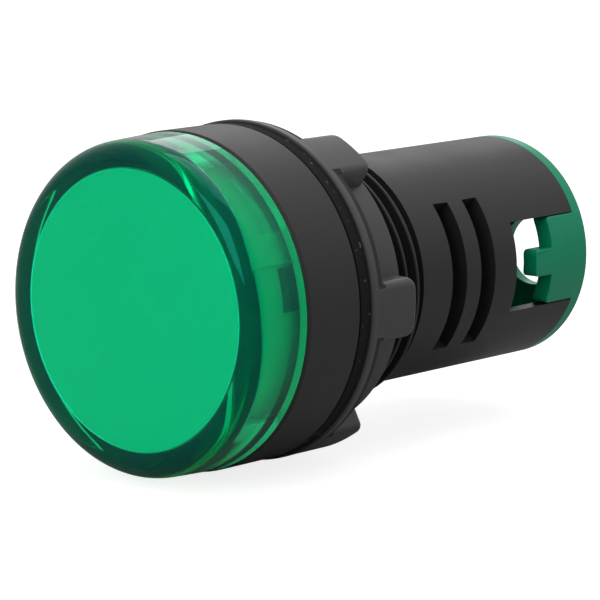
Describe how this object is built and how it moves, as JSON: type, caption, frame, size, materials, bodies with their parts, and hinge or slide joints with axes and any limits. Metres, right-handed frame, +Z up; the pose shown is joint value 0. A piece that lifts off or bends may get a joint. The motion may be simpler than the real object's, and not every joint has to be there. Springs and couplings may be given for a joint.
{
  "type": "panel pilot light",
  "caption": "Round green panel pilot light with a clear push-in lens, black threaded housing, gasket, lugged lock nut, slotted barrel and a green rear cover over its screw terminals.",
  "frame": {"origin": "on the light's axis, in the plane where the gasket's rear face meets the front of the panel", "axes": "+Y along the axis from the lens towards the terminals, +Z up, with the terminals side by side along X"},
  "size_m": [0.0294, 0.0501, 0.0294],
  "materials": {
    "clear_green": "clear moulded polycarbonate, polished",
    "milky_green": "milky light-spreading moulding",
    "black_moulding": "satin black moulding",
    "black_rubber": "matt black rubber",
    "white_board": "white solder-mask board",
    "diode_resin": "clear resin diode",
    "green_board": "green solder-mask board",
    "film_case": "moulded capacitor case",
    "can_sleeve": "shrink sleeve over an aluminium can",
    "black_resin": "moulded resin",
    "blue_enamel": "enamelled resistor body",
    "tan_enamel": "enamelled resistor body",
    "tinned_copper": "tinned copper pin",
    "brass_plate": "stamped brass",
    "plated_steel": "zinc-plated steel",
    "green_moulding": "satin green moulding"
  },
  "bodies": {
    "frame": {"housing": "black_moulding", "gasket": "black_rubber", "led_board": "white_board", "leds": "diode_resin", "driver_board": "green_board", "film_capacitor": "film_case", "electrolytic_capacitor": "can_sleeve", "bridge_rectifier": "black_resin", "surge_resistor": "blue_enamel", "bleed_resistor": "tan_enamel", "link_pin_left": "tinned_copper", "link_pin_right": "tinned_copper", "terminal_block": "black_moulding", "terminal_plate_left": "brass_plate", "terminal_plate_right": "brass_plate"},
    "lens_cap": {"lens": "clear_green", "diffuser": "milky_green"},
    "nut": {"lock_nut": "black_moulding"},
    "cover": {"rear_cover": "green_moulding"},
    "clamp_left": {"clamp_washer_left": "plated_steel"},
    "clamp_right": {"clamp_washer_right": "plated_steel"},
    "screw_left": {"terminal_screw_left": "plated_steel"},
    "screw_right": {"terminal_screw_right": "plated_steel"}
  },
  "joints": [
    {"name": "lens_pull", "type": "slide", "parent": "frame", "child": "lens_cap", "axis": [0, -1, 0], "range_m": [0, 0.006]},
    {"name": "nut_travel", "type": "slide", "parent": "frame", "child": "nut", "axis": [0, 1, 0], "range_m": [0, 0.036]},
    {"name": "cover_pull", "type": "slide", "parent": "frame", "child": "cover", "axis": [0, 1, 0], "range_m": [0, 0.008]},
    {"name": "clamp_travel_left", "type": "slide", "parent": "frame", "child": "clamp_left", "axis": [0, 1, 0], "range_m": [0, 0.002]},
    {"name": "clamp_travel_right", "type": "slide", "parent": "frame", "child": "clamp_right", "axis": [0, 1, 0], "range_m": [0, 0.002]},
    {"name": "screw_turn_left", "type": "hinge", "parent": "clamp_left", "child": "screw_left", "pos_m": [-0.0048, 0.026, 0], "axis": [0, 1, 0], "range_deg": [0, 1440]},
    {"name": "screw_turn_right", "type": "hinge", "parent": "clamp_right", "child": "screw_right", "pos_m": [0.0048, 0.026, 0], "axis": [0, 1, 0], "range_deg": [0, 1440]}
  ],
  "couplings": [
    {"joint": "screw_turn_left", "follows": "clamp_travel_left", "rad_per_m": 12566},
    {"joint": "screw_turn_right", "follows": "clamp_travel_right", "rad_per_m": 12566}
  ]
}
